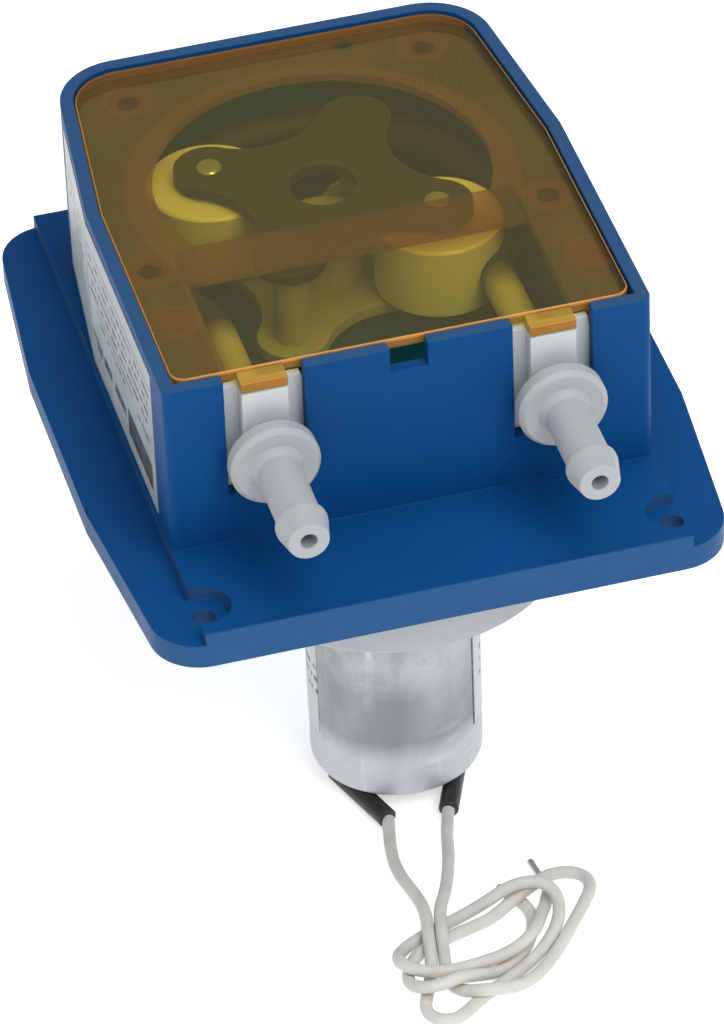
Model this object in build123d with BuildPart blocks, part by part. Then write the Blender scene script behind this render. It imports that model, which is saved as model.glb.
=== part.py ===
from build123d import *
import math
import os

os.makedirs("parts", exist_ok=True)

# Peristaltic dosing pump: a moulded casing with a mounting plate, a roller rotor under a
# clear lid, and a gear motor below. Millimetres. The origin is in the panel plane (the
# plate's underside), at the middle of the four mounting holes. +Z points out of the
# panel towards the lid, -Y is the side with the two hose fittings.

# ---------------------------------------------------------------- driving dimensions
# mounting plate
PLATE_LENGTH = 136.9
PLATE_HALF_MIDDLE = 59.6
PLATE_HALF_END = 55.3
PLATE_STRAIGHT = 46.0
PLATE_THICK = 5.1
PLATE_CORNER = 10.0
LAYER_THICK = 2.9
HOLE_X = 45.8
HOLE_Y = 60.0
HOLE_RADIUS = 2.25
POCKET_RADIUS = 5.25
BLIND_DEPTH = 4.0

# casing box
BOX_WIDTH = 95.0
BOX_FRONT = -43.1
BOX_BACK = 63.7
BOX_KINK = 16.1
BOX_BACK_HALF = 42.4
BOX_TOP = 45.6
BOX_FRONT_CORNER = 1.8
BOX_BACK_CORNER = 13.0
RIM = 2.6
NOTCH_WIDTH = 7.4
NOTCH_DEPTH = 5.4

# levels
LAYER_TOP = PLATE_THICK + LAYER_THICK
FLOOR_TOP = 16.5
FLOOR_THICK = 3.0
COVER_SEAT = 41.0
COVER_THICK = 1.8
LID_BOTTOM = 42.9
LID_TOP = 45.0
LID_FRONT = -39.2
LID_CORNER = 3.0

# rotor and race
PUMP_Y = 18.2
RACE_RADIUS = 38.5
PIN_CIRCLE = 23.0
ROLLER_RADIUS = 12.7
ROLLER_ANGLE = -31.5
WINDOW_RADIUS = 33.0
WINDOW_FRONT = 3.2
STRIP_FRONT = -7.4
BAY_HALF = 34.0
ROLLER_BOTTOM = 21.2
ROLLER_TOP = 36.9
PIN_RADIUS = 2.55
RUNNING_GAP = 0.05
ARM_WIDTH = 14.0
ARM_BLEND = 15.5
UPPER_PLATE = (37.8, 40.2)
LOWER_PLATE = (18.2, 20.5)
SHAFT_RADIUS = 4.0

# hose fittings and pump tube
FITTING_X = 28.0
FITTING_Z = 28.7
SLOT_WIDTH = 15.7
SLOT_BOTTOM = 18.9
TAB_WIDTH = 9.0
TAB_REACH = 0.3
TAB_STEP = 0.4
BORE_RADIUS = 1.65
TUBE_OUTER = 3.5
TUBE_INNER = 2.2

# gearbox and motor
MOTOR_Y = -22.6
GEARBOX_FRONT_RADIUS = 34.6
GEARBOX_REAR_RADIUS = 25.0
GEARBOX_BOTTOM = -17.0
GEARBOX_WALL = 2.2
CAN_RADIUS = 17.1
CAN_BOTTOM = -68.3
CAN_WALL = 1.1
GEAR_MODULE = 0.8
WHEEL_TEETH = 40
PINION_TEETH = 12
OUTPUT_TEETH = 40
ADDENDUM = 0.75
DEDENDUM = 1.15
PRESSURE_ANGLE = 20.0
TOOTH_SHARE = 0.44
SCREW_RADIUS = 1.2

# wiring, lying on the surface under the motor's end boss
FLOOR = CAN_BOTTOM - 4.0
LEAD_RADIUS = 1.25
SLEEVE_RADIUS = 2.0
TIP_RADIUS = 0.7
TERMINAL_X = 12.5

# screw places
COVER_SCREWS = ((-30, 52.3), (30, 52.3), (-39.5, -2.1), (39.5, -2.1))
GEARBOX_SCREWS = ((-26.5, -37.7), (26.5, -37.7), (-16.5, 31.5), (16.5, 31.5))
MOTOR_SCREWS = ((-8, MOTOR_Y), (8, MOTOR_Y))


def save(builder, label):
    """Label a finished piece and write it."""
    builder.part.label = label
    export_step(builder.part, f"parts/{label}.step")


# ---------------------------------------------------------------- shared outlines
def box_profile(grow=0.0):
    """Outline of the casing box, optionally grown (or shrunk) all round."""
    half = BOX_WIDTH / 2
    with BuildSketch() as outline:
        with BuildLine():
            Polyline(
                (-half, BOX_FRONT),
                (half, BOX_FRONT),
                (half, BOX_KINK),
                (BOX_BACK_HALF, BOX_BACK),
                (-BOX_BACK_HALF, BOX_BACK),
                (-half, BOX_KINK),
                close=True,
            )
        make_face()
        fillet(outline.vertices().group_by(Axis.Y)[0], BOX_FRONT_CORNER)
        fillet(outline.vertices().group_by(Axis.Y)[-1], BOX_BACK_CORNER)
        if grow:
            offset(amount=grow)
    return outline.sketch


def plate_profile():
    """Outline of the mounting plate: straight middles and tapering ends."""
    end = PLATE_LENGTH / 2
    middle = PLATE_STRAIGHT / 2
    with BuildSketch() as outline:
        with BuildLine():
            Polyline(
                (-PLATE_HALF_END, -end),
                (PLATE_HALF_END, -end),
                (PLATE_HALF_MIDDLE, -middle),
                (PLATE_HALF_MIDDLE, middle),
                (PLATE_HALF_END, end),
                (-PLATE_HALF_END, end),
                (-PLATE_HALF_MIDDLE, middle),
                (-PLATE_HALF_MIDDLE, -middle),
                close=True,
            )
        make_face()
        rows = outline.vertices().group_by(Axis.Y)
        fillet(rows[0] + rows[-1], PLATE_CORNER)
    return outline.sketch


def gearbox_profile(inset=0.0):
    """Pear-shaped gearbox outline: a wide lobe at the motor, a small one at the output."""
    with BuildSketch() as outline:
        with Locations((0, MOTOR_Y)):
            Circle(GEARBOX_FRONT_RADIUS - inset)
        with Locations((0, PUMP_Y)):
            Circle(GEARBOX_REAR_RADIUS - inset)
        make_hull()
    return outline.sketch


def rotor_profile():
    """Four-armed plate: two roller arms and two guide arms with round ends."""
    with BuildSketch() as outline:
        for arm in range(2):
            with Locations(Rotation(0, 0, ROLLER_ANGLE + 90 * arm)):
                SlotCenterToCenter(2 * PIN_CIRCLE, ARM_WIDTH)
        corners = outline.vertices().sort_by_distance((0, 0, 0))[:4]
        fillet(corners, ARM_BLEND)
    return outline.sketch


def polar(radius, angle, centre_y=PUMP_Y):
    """Point at an angle on a circle about a vertical axis on the centre line."""
    turn = math.radians(angle)
    return (radius * math.cos(turn), centre_y + radius * math.sin(turn))


# ---------------------------------------------------------------- casing
with BuildPart() as pump_body:
    with BuildSketch(Plane.XY):
        add(plate_profile())
    extrude(amount=PLATE_THICK)
    with BuildSketch(Plane.XY.offset(PLATE_THICK)):
        Rectangle(BOX_WIDTH, PLATE_LENGTH)
    extrude(amount=LAYER_THICK)
    with BuildSketch(Plane.XY.offset(LAYER_TOP)):
        add(box_profile())
    extrude(amount=BOX_TOP - LAYER_TOP)
    # recess for the lid and the race cover
    with BuildSketch(Plane.XY.offset(COVER_SEAT)):
        add(box_profile(-RIM))
    extrude(amount=BOX_TOP - COVER_SEAT, mode=Mode.SUBTRACT)
    # round race, front bay and the two pockets behind the fittings
    with BuildSketch(Plane.XY.offset(FLOOR_TOP)):
        with Locations((0, PUMP_Y)):
            Circle(RACE_RADIUS)
        with Locations((0, BOX_FRONT + RIM)):
            Rectangle(2 * BAY_HALF, PUMP_Y - BOX_FRONT - RIM - 10, align=(Align.CENTER, Align.MIN))
    extrude(amount=COVER_SEAT - FLOOR_TOP, mode=Mode.SUBTRACT)
    with BuildSketch(Plane.XY.offset(SLOT_BOTTOM)):
        with Locations((-FITTING_X, BOX_FRONT + RIM), (FITTING_X, BOX_FRONT + RIM)):
            Rectangle(20, 4, align=(Align.CENTER, Align.MIN))
    extrude(amount=COVER_SEAT - SLOT_BOTTOM, mode=Mode.SUBTRACT)
    # slots for the fittings and the pry notch, through the front wall
    with BuildSketch(Plane.XY.offset(SLOT_BOTTOM)):
        with Locations((-FITTING_X, BOX_FRONT), (FITTING_X, BOX_FRONT)):
            Rectangle(SLOT_WIDTH, 2 * RIM)
    extrude(amount=BOX_TOP - SLOT_BOTTOM, mode=Mode.SUBTRACT)
    with BuildSketch(Plane.XY.offset(BOX_TOP - NOTCH_DEPTH)):
        with Locations((0, BOX_FRONT)):
            Rectangle(NOTCH_WIDTH, 2 * RIM + 1)
    extrude(amount=NOTCH_DEPTH, mode=Mode.SUBTRACT)
    # hollow underside below the race, and the seat of the shaft bush
    with BuildSketch(Plane.XY):
        with Locations((0, PUMP_Y)):
            Circle(GEARBOX_REAR_RADIUS - 6)
    extrude(amount=FLOOR_TOP - FLOOR_THICK, mode=Mode.SUBTRACT)
    with BuildSketch(Plane.XY.offset(FLOOR_TOP - FLOOR_THICK)):
        with Locations((0, PUMP_Y)):
            Circle(SHAFT_RADIUS + 2)
    extrude(amount=FLOOR_THICK, mode=Mode.SUBTRACT)
    # front mounting holes with round pockets cut through the raised layer
    with Locations(Plane.XY.offset(LAYER_TOP)):
        with Locations((-HOLE_X, -HOLE_Y), (HOLE_X, -HOLE_Y)):
            CounterBoreHole(HOLE_RADIUS, POCKET_RADIUS, LAYER_THICK)
    # rear mounting holes, blind, for screws from behind the panel
    with Locations((-HOLE_X, HOLE_Y), (HOLE_X, HOLE_Y)):
        Cylinder(HOLE_RADIUS, BLIND_DEPTH, align=(Align.CENTER, Align.CENTER, Align.MIN),
                 mode=Mode.SUBTRACT)
    # pilot holes for the race-cover screws and the gearbox screws
    with Locations(Plane.XY.offset(COVER_SEAT)):
        with Locations(*COVER_SCREWS):
            Hole(SCREW_RADIUS, depth=9)
    with Locations(Rotation(180, 0, 0)):
        with Locations(*[(x, -y) for x, y in GEARBOX_SCREWS]):
            Hole(SCREW_RADIUS, depth=7)
save(pump_body, "pump_body")


# ---------------------------------------------------------------- race cover and lid
with BuildPart() as race_cover:
    with BuildSketch(Plane.XY.offset(COVER_SEAT)):
        add(box_profile(-RIM - 0.2))
        # D-shaped window over the rotor, with a straight front edge
        with BuildSketch(mode=Mode.SUBTRACT):
            with Locations((0, PUMP_Y)):
                Circle(WINDOW_RADIUS)
            with Locations((0, WINDOW_FRONT)):
                Rectangle(200, 100, align=(Align.CENTER, Align.MIN), mode=Mode.INTERSECT)
        # bay open over the fittings' tubes, and notches round the fittings' flanges
        with Locations((0, STRIP_FRONT)):
            Rectangle(2 * BAY_HALF - 0.8, 60, align=(Align.CENTER, Align.MAX), mode=Mode.SUBTRACT)
        with Locations((-FITTING_X, BOX_FRONT), (FITTING_X, BOX_FRONT)):
            Rectangle(SLOT_WIDTH + 0.4, 2 * (RIM + 2.4), mode=Mode.SUBTRACT)
    extrude(amount=COVER_THICK)
    with Locations(Plane.XY.offset(COVER_SEAT + COVER_THICK)):
        with Locations(*COVER_SCREWS):
            CounterSinkHole(SCREW_RADIUS + 0.3, SCREW_RADIUS * 2)
save(race_cover, "race_cover")

with BuildPart() as race_cover_screws:
    with Locations(*COVER_SCREWS):
        with Locations((0, 0, COVER_SEAT + COVER_THICK - 7.5)):
            Cylinder(SCREW_RADIUS, 7.5, align=(Align.CENTER, Align.CENTER, Align.MIN))
        with Locations((0, 0, COVER_SEAT + COVER_THICK)):
            Cone(SCREW_RADIUS, 2 * SCREW_RADIUS - 0.05, SCREW_RADIUS - 0.05,
                 align=(Align.CENTER, Align.CENTER, Align.MAX))
save(race_cover_screws, "race_cover_screws")

with BuildPart() as lid:
    with BuildSketch(Plane.XY.offset(LID_BOTTOM)) as lid_outline:
        add(box_profile(-RIM - 0.3))
        with Locations((0, LID_FRONT)):
            Rectangle(2 * BOX_WIDTH, 2 * PLATE_LENGTH, align=(Align.CENTER, Align.MIN),
                      mode=Mode.INTERSECT)
        fillet(lid_outline.vertices().group_by(Axis.Y)[0], LID_CORNER)
    extrude(amount=LID_TOP - LID_BOTTOM)
    fillet(lid.faces().sort_by(Axis.Z)[-1].edges(), 0.35)
    # tabs one step below the lid's top that reach out over the fittings
    with BuildSketch(Plane.XY.offset(LID_BOTTOM - 0.4)):
        with Locations((-FITTING_X, LID_FRONT + 2), (FITTING_X, LID_FRONT + 2)):
            Rectangle(TAB_WIDTH, LID_FRONT + 2 - BOX_FRONT + TAB_REACH,
                      align=(Align.CENTER, Align.MAX))
    extrude(amount=LID_TOP - TAB_STEP - LID_BOTTOM + 0.4)
save(lid, "lid")

# ---------------------------------------------------------------- hose fittings
NOZZLE_OUTLINE = (
    # distance in front of the box wall, radius: spigot, disc, stem, barb and tip
    (-10.6, 1.9),
    (-9.6, TUBE_INNER),
    (0.0, TUBE_INNER),
    (0.0, 4.2),
    (3.5, 4.2),
    (3.5, 8.75),
    (6.0, 8.75),
    (7.0, 7.9),
    (7.0, 5.2),
    (8.6, 4.3),
    (23.2, 4.3),
    (24.0, 5.05),
    (24.7, 5.05),
    (29.5, 3.95),
)


def make_fitting(x, label):
    """Slide-in hose fitting: flange plates for the wall slot, disc, stem, barb, through bore."""
    with BuildPart() as fitting:
        with BuildSketch(Plane((x, BOX_FRONT, FITTING_Z), x_dir=(0, -1, 0), z_dir=(1, 0, 0))):
            with BuildLine():
                Polyline(
                    (NOZZLE_OUTLINE[0][0], 0),
                    *NOZZLE_OUTLINE,
                    (NOZZLE_OUTLINE[-1][0], 0),
                    close=True,
                )
            make_face()
        revolve(axis=Axis((x, 0, FITTING_Z), (0, -1, 0)))
        # flange inside the wall, its taller middle, and the block that fills the slot
        for low, high, half, top in (
            (BOX_FRONT + RIM + 0.1, BOX_FRONT + RIM + 2.0, 9.3, COVER_SEAT - 0.6),
            (BOX_FRONT + RIM + 0.1, BOX_FRONT + RIM + 2.0, SLOT_WIDTH / 2 - 0.15, LID_BOTTOM - 0.8),
            (BOX_FRONT - TAB_REACH, BOX_FRONT + RIM + 0.1, TAB_WIDTH / 2, LID_BOTTOM - 0.8),
        ):
            with BuildSketch(Plane.XY.offset(SLOT_BOTTOM + 0.2)):
                with Locations((x, low)):
                    Rectangle(2 * half, high - low, align=(Align.CENTER, Align.MIN))
            extrude(amount=top - SLOT_BOTTOM - 0.2)
        with Locations(Plane((x, BOX_FRONT - NOZZLE_OUTLINE[-1][0], FITTING_Z), z_dir=(0, -1, 0))):
            Hole(BORE_RADIUS, depth=50)
    save(fitting, label)


make_fitting(-FITTING_X, "fitting_left")
make_fitting(FITTING_X, "fitting_right")


# ---------------------------------------------------------------- pump tube
def tube_path():
    """Centre line of the tube: in, outwards round the race, and out again."""
    race = RACE_RADIUS - TUBE_OUTER
    bend = 12.0
    bend_x = FITTING_X + bend
    bend_y = PUMP_Y - math.sqrt((race + bend) ** 2 - bend_x ** 2)
    turn = math.degrees(math.atan2(PUMP_Y - bend_y, bend_x))
    start = BOX_FRONT + RIM + 2.0
    with BuildLine(Plane.XY.offset(FITTING_Z)) as path:
        Line((-FITTING_X, start), (-FITTING_X, bend_y))
        CenterArc((-bend_x, bend_y), bend, 0, turn)
        CenterArc((0, PUMP_Y), race, 180 + turn, -180 - 2 * turn)
        CenterArc((bend_x, bend_y), bend, 180 - turn, turn)
        Line((FITTING_X, bend_y), (FITTING_X, start))
    return path.line


with BuildPart() as pump_tube:
    path = tube_path()
    with BuildSketch(Plane(path @ 0, z_dir=path % 0)):
        Circle(TUBE_OUTER)
        Circle(TUBE_INNER, mode=Mode.SUBTRACT)
    sweep(path=path)
    # the rollers press the tube flat against the race
    for side in (0, 180):
        with Locations((*polar(PIN_CIRCLE, ROLLER_ANGLE + side), FITTING_Z)):
            Cylinder(ROLLER_RADIUS + 0.1, 3 * TUBE_OUTER, mode=Mode.SUBTRACT)
save(pump_tube, "pump_tube")

# ---------------------------------------------------------------- rotor
with BuildPart() as rotor_upper_plate:
    with BuildSketch(Plane.XY.offset(UPPER_PLATE[0])):
        with Locations((0, PUMP_Y)):
            add(rotor_profile())
            Circle(6.7, mode=Mode.SUBTRACT)
            with PolarLocations(PIN_CIRCLE, 2, start_angle=ROLLER_ANGLE):
                Circle(PIN_RADIUS, mode=Mode.SUBTRACT)
    extrude(amount=UPPER_PLATE[1] - UPPER_PLATE[0])
save(rotor_upper_plate, "rotor_upper_plate")

with BuildPart() as rotor_lower_plate:
    with BuildSketch(Plane.XY.offset(LOWER_PLATE[0])):
        with Locations((0, PUMP_Y)):
            add(rotor_profile())
    extrude(amount=LOWER_PLATE[1] - LOWER_PLATE[0])
    with BuildSketch(Plane.XY.offset(LOWER_PLATE[1])):
        with Locations((0, PUMP_Y)):
            Circle(8.0)
    extrude(amount=11)
    with BuildSketch(Plane.XY.offset(LOWER_PLATE[0])):
        with Locations((0, PUMP_Y)):
            Circle(SHAFT_RADIUS)
            with PolarLocations(PIN_CIRCLE, 2, start_angle=ROLLER_ANGLE):
                Circle(PIN_RADIUS)
    extrude(amount=20, mode=Mode.SUBTRACT)
save(rotor_lower_plate, "rotor_lower_plate")

for side, label in ((0, "right"), (180, "left")):
    centre = polar(PIN_CIRCLE, ROLLER_ANGLE + side)
    with BuildPart() as roller_pin:
        with BuildSketch(Plane.XY.offset(LOWER_PLATE[0])):
            with Locations(centre):
                Circle(PIN_RADIUS)
        extrude(amount=UPPER_PLATE[1] + 0.5 - LOWER_PLATE[0])
        chamfer(roller_pin.faces().sort_by(Axis.Z)[-1].edges(), 0.3)
    save(roller_pin, f"roller_pin_{label}")

    with BuildPart() as roller:
        with BuildSketch(Plane.XY.offset(ROLLER_BOTTOM)):
            with Locations(centre):
                Circle(ROLLER_RADIUS)
                Circle(PIN_RADIUS + RUNNING_GAP, mode=Mode.SUBTRACT)
        extrude(amount=ROLLER_TOP - ROLLER_BOTTOM)
        rims = roller.edges().filter_by(lambda e: e.length > 6 * ROLLER_RADIUS)
        chamfer(rims, 0.5)
    save(roller, f"roller_{label}")

    centre = polar(PIN_CIRCLE, ROLLER_ANGLE + 90 + side)
    with BuildPart() as guide_post:
        with BuildSketch(Plane.XY.offset(LOWER_PLATE[1])):
            with Locations(centre):
                Circle(3.5)
        extrude(amount=UPPER_PLATE[0] - LOWER_PLATE[1])
        fillet(guide_post.edges().filter_by(GeomType.CIRCLE), 0.3)
    save(guide_post, f"guide_post_{label}")

with BuildPart() as output_shaft:
    with BuildSketch(Plane.XY.offset(GEARBOX_BOTTOM + 8.5)):
        with Locations((0, PUMP_Y)):
            Circle(SHAFT_RADIUS)
    extrude(amount=30 - GEARBOX_BOTTOM - 8.5)
    chamfer(output_shaft.faces().sort_by(Axis.Z)[-1].edges(), 0.5)
save(output_shaft, "output_shaft")

with BuildPart() as shaft_bush:
    with BuildSketch(Plane.XY.offset(FLOOR_TOP - FLOOR_THICK)):
        with Locations((0, PUMP_Y)):
            Circle(SHAFT_RADIUS + 2)
            Circle(SHAFT_RADIUS + RUNNING_GAP, mode=Mode.SUBTRACT)
    extrude(amount=FLOOR_THICK)
save(shaft_bush, "shaft_bush")


# ---------------------------------------------------------------- gears
def involute(angle):
    """Involute function of an angle in radians."""
    return math.tan(angle) - angle


def gear_face(teeth, first_angle):
    """Spur gear outline about the sketch origin, one tooth centred on first_angle."""
    pitch = GEAR_MODULE * teeth / 2
    pressure = math.radians(PRESSURE_ANGLE)
    base = pitch * math.cos(pressure)
    root = pitch - DEDENDUM * GEAR_MODULE
    tip = pitch + ADDENDUM * GEAR_MODULE
    half = TOOTH_SHARE * math.pi / teeth
    flank = []
    for step in range(5):
        radius = max(base, root) + (tip - max(base, root)) * step / 4
        roll = math.acos(min(1.0, base / radius))
        flank.append((radius, half + involute(pressure) - involute(roll)))
    flank.insert(0, (root - 0.01, flank[0][1]))
    points = []
    for tooth in range(teeth):
        middle = math.radians(first_angle) + 2 * math.pi * tooth / teeth
        side = [(r, middle - a) for r, a in flank] + [(r, middle + a) for r, a in reversed(flank)]
        points += [(r * math.cos(a), r * math.sin(a)) for r, a in side]
    with BuildSketch() as outline:
        with BuildLine():
            Polyline(*points, close=True)
        make_face()
    return outline.sketch


centre_distance = GEAR_MODULE * (WHEEL_TEETH + PINION_TEETH) / 2
half_span = (PUMP_Y - MOTOR_Y) / 2
IDLER = (math.sqrt(centre_distance ** 2 - half_span ** 2), MOTOR_Y + half_span)
to_motor = math.degrees(math.atan2(MOTOR_Y - IDLER[1], -IDLER[0]))
to_output = math.degrees(math.atan2(PUMP_Y - IDLER[1], -IDLER[0]))
HALF_PITCH = 180.0 / PINION_TEETH


def make_gear(label, centre, low, thick, teeth, first_angle, bore):
    """Spur gear with a plain bore."""
    with BuildPart() as gear:
        with BuildSketch(Plane.XY.offset(low)):
            with Locations(centre):
                add(gear_face(teeth, first_angle))
                Circle(bore, mode=Mode.SUBTRACT)
        extrude(amount=thick)
    save(gear, label)


GEAR_FLOOR = GEARBOX_BOTTOM + GEARBOX_WALL
make_gear("motor_pinion", (0, MOTOR_Y), GEAR_FLOOR + 1.0, 5.5, PINION_TEETH,
          to_motor + 180 + HALF_PITCH, 1.5)
make_gear("idler_wheel", IDLER, GEAR_FLOOR + 1.5, 4.0, WHEEL_TEETH, to_motor, 1.55)
make_gear("idler_pinion", IDLER, GEAR_FLOOR + 5.5, 6.5, PINION_TEETH,
          to_output + HALF_PITCH, 1.55)
make_gear("output_gear", (0, PUMP_Y), GEAR_FLOOR + 7.0, 4.5, OUTPUT_TEETH,
          to_output + 180, SHAFT_RADIUS)

# ---------------------------------------------------------------- gearbox
with BuildPart() as gearbox_housing:
    with BuildSketch(Plane.XY.offset(GEARBOX_BOTTOM)):
        add(gearbox_profile())
    extrude(amount=-GEARBOX_BOTTOM)
    with BuildSketch(Plane.XY.offset(GEAR_FLOOR)):
        add(gearbox_profile(inset=GEARBOX_WALL))
    extrude(amount=-GEAR_FLOOR, mode=Mode.SUBTRACT)
    with BuildSketch(Plane.XY.offset(GEAR_FLOOR)):
        with Locations(*GEARBOX_SCREWS):
            Circle(2.8)
    extrude(amount=-GEAR_FLOOR - 2.5)
    with BuildSketch(Plane.XY.offset(GEARBOX_BOTTOM)):
        with Locations(*GEARBOX_SCREWS):
            Circle(SCREW_RADIUS + 0.3)
        with Locations(*MOTOR_SCREWS):
            Circle(SCREW_RADIUS)
        with Locations((0, MOTOR_Y)):
            Circle(5.0)
        with Locations(IDLER):
            Circle(1.5)
    extrude(amount=-GEARBOX_BOTTOM, mode=Mode.SUBTRACT)
    chamfer(gearbox_housing.faces().sort_by(Axis.Z)[0].outer_wire().edges(), 0.8)
save(gearbox_housing, "gearbox_housing")

with BuildPart() as gearbox_cover:
    with BuildSketch(Plane.XY.offset(-2.5)):
        add(gearbox_profile(inset=GEARBOX_WALL + 0.1))
        with Locations((0, PUMP_Y)):
            Circle(SHAFT_RADIUS + RUNNING_GAP, mode=Mode.SUBTRACT)
        with Locations(*GEARBOX_SCREWS):
            Circle(SCREW_RADIUS + 0.3, mode=Mode.SUBTRACT)
    extrude(amount=2.5)
save(gearbox_cover, "gearbox_cover")

with BuildPart() as idler_pin:
    with BuildSketch(Plane.XY.offset(GEARBOX_BOTTOM)):
        with Locations(IDLER):
            Circle(1.5)
    extrude(amount=-GEARBOX_BOTTOM - 2.5)
save(idler_pin, "idler_pin")

with BuildPart() as gearbox_screws:
    with Locations(*GEARBOX_SCREWS):
        with Locations((0, 0, GEARBOX_BOTTOM)):
            Cylinder(SCREW_RADIUS, 6 - GEARBOX_BOTTOM,
                     align=(Align.CENTER, Align.CENTER, Align.MIN))
            Cylinder(2.6, 1.8, align=(Align.CENTER, Align.CENTER, Align.MAX))
save(gearbox_screws, "gearbox_screws")

# ---------------------------------------------------------------- motor
with BuildPart() as motor_can:
    with BuildSketch(Plane.XY.offset(CAN_BOTTOM)):
        with Locations((0, MOTOR_Y)):
            Circle(CAN_RADIUS)
    extrude(amount=GEARBOX_BOTTOM - CAN_BOTTOM)
    fillet(motor_can.faces().sort_by(Axis.Z)[0].edges(), 0.9)
    with BuildSketch(Plane.XY.offset(CAN_BOTTOM)):
        with Locations((0, MOTOR_Y)):
            Circle(CAN_RADIUS - CAN_WALL)
    extrude(amount=GEARBOX_BOTTOM - CAN_WALL - CAN_BOTTOM, mode=Mode.SUBTRACT)
    with BuildSketch(Plane.XY.offset(GEARBOX_BOTTOM - CAN_WALL)):
        with Locations((0, MOTOR_Y)):
            Circle(5.0)
        with Locations(*MOTOR_SCREWS):
            Circle(SCREW_RADIUS)
    extrude(amount=CAN_WALL, mode=Mode.SUBTRACT)
save(motor_can, "motor_can")

with BuildPart() as motor_screws:
    with Locations(*MOTOR_SCREWS):
        with Locations((0, 0, GEAR_FLOOR)):
            Cylinder(SCREW_RADIUS, GEARBOX_WALL + CAN_WALL + 0.4,
                     align=(Align.CENTER, Align.CENTER, Align.MAX))
            Cylinder(2.3, 0.9, align=(Align.CENTER, Align.CENTER, Align.MIN))
save(motor_screws, "motor_screws")

CAP_TOP = CAN_BOTTOM + 4.4
with BuildPart() as motor_end_cap:
    with BuildSketch(Plane.XY.offset(CAN_BOTTOM + 0.6)):
        with Locations((0, MOTOR_Y)):
            Circle(CAN_RADIUS - CAN_WALL)
            Circle(3.5, mode=Mode.SUBTRACT)
    extrude(amount=CAP_TOP - CAN_BOTTOM - 0.6)
    with BuildSketch(Plane.XY.offset(CAP_TOP)):
        with Locations((-8, MOTOR_Y), (8, MOTOR_Y)):
            Rectangle(5.5, 6.5)
    extrude(amount=2.2)
    with BuildSketch(Plane.XY.offset(FLOOR)):
        with Locations((0, MOTOR_Y)):
            Circle(6.5)
    extrude(amount=CAN_BOTTOM + 0.6 - FLOOR)
    chamfer(motor_end_cap.faces().sort_by(Axis.Z)[0].edges(), 0.6)
save(motor_end_cap, "motor_end_cap")

with BuildPart() as motor_bushes:
    with Locations((0, MOTOR_Y, GEARBOX_BOTTOM + 2.1)):
        Cylinder(5.0, 5.0, align=(Align.CENTER, Align.CENTER, Align.MAX))
    with Locations((0, MOTOR_Y, CAN_BOTTOM + 0.6)):
        Cylinder(3.5, CAP_TOP - CAN_BOTTOM - 0.6, align=(Align.CENTER, Align.CENTER, Align.MIN))
    with Locations((0, MOTOR_Y, GEARBOX_BOTTOM + 3)):
        Hole(1.5 + RUNNING_GAP, depth=80)
save(motor_bushes, "motor_bushes")

with BuildPart() as motor_magnets:
    with BuildSketch(Plane.XY.offset(CAN_BOTTOM + 8)):
        with Locations((0, MOTOR_Y)):
            Circle(CAN_RADIUS - CAN_WALL)
            Circle(13.0, mode=Mode.SUBTRACT)
            Rectangle(16, 60, mode=Mode.SUBTRACT)
    extrude(amount=GEARBOX_BOTTOM - CAN_BOTTOM - 16)
save(motor_magnets, "motor_magnets")

CORE = (CAN_BOTTOM + 15.5, GEARBOX_BOTTOM - 13.5)
with BuildPart() as armature_core:
    with BuildSketch(Plane.XY.offset(CORE[0])):
        with Locations((0, MOTOR_Y)):
            Circle(12.3)
            with PolarLocations(11.5, 5):
                SlotOverall(7.5, 2.4, mode=Mode.SUBTRACT)
            Circle(1.5, mode=Mode.SUBTRACT)
    extrude(amount=CORE[1] - CORE[0])
save(armature_core, "armature_core")

with BuildPart() as armature_windings:
    for level in (CORE[0] - 3.8, CORE[1]):
        with BuildSketch(Plane.XY.offset(level)):
            with Locations((0, MOTOR_Y)):
                Circle(10.5)
                Circle(3.5, mode=Mode.SUBTRACT)
        extrude(amount=3.8)
    fillet(armature_windings.edges().filter_by(lambda e: e.length > 60), 1.2)
save(armature_windings, "armature_windings")

with BuildPart() as commutator:
    with BuildSketch(Plane.XY.offset(CORE[0] - 10)):
        with Locations((0, MOTOR_Y)):
            Circle(4.0)
            Circle(1.5, mode=Mode.SUBTRACT)
    extrude(amount=6.0)
save(commutator, "commutator")

with BuildPart() as motor_shaft:
    with BuildSketch(Plane.XY.offset(CAN_BOTTOM + 1.5)):
        with Locations((0, MOTOR_Y)):
            Circle(1.5)
    extrude(amount=GEAR_FLOOR + 6.5 - CAN_BOTTOM - 1.5)
    chamfer(motor_shaft.faces().sort_by(Axis.Z)[-1].edges(), 0.3)
save(motor_shaft, "motor_shaft")

with BuildPart() as motor_brushes:
    for side in (-1, 1):
        with Locations((side * 7.6, MOTOR_Y, CAP_TOP + 2.2)):
            Box(7.0, 3.2, 2.6, align=(Align.CENTER, Align.CENTER, Align.MIN))
save(motor_brushes, "motor_brushes")

with BuildPart() as motor_terminals:
    with Locations((-TERMINAL_X, MOTOR_Y, CAN_BOTTOM + 0.6), (TERMINAL_X, MOTOR_Y, CAN_BOTTOM + 0.6)):
        Box(2.6, 0.8, 4.2, align=(Align.CENTER, Align.CENTER, Align.MAX))
save(motor_terminals, "motor_terminals")

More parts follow.
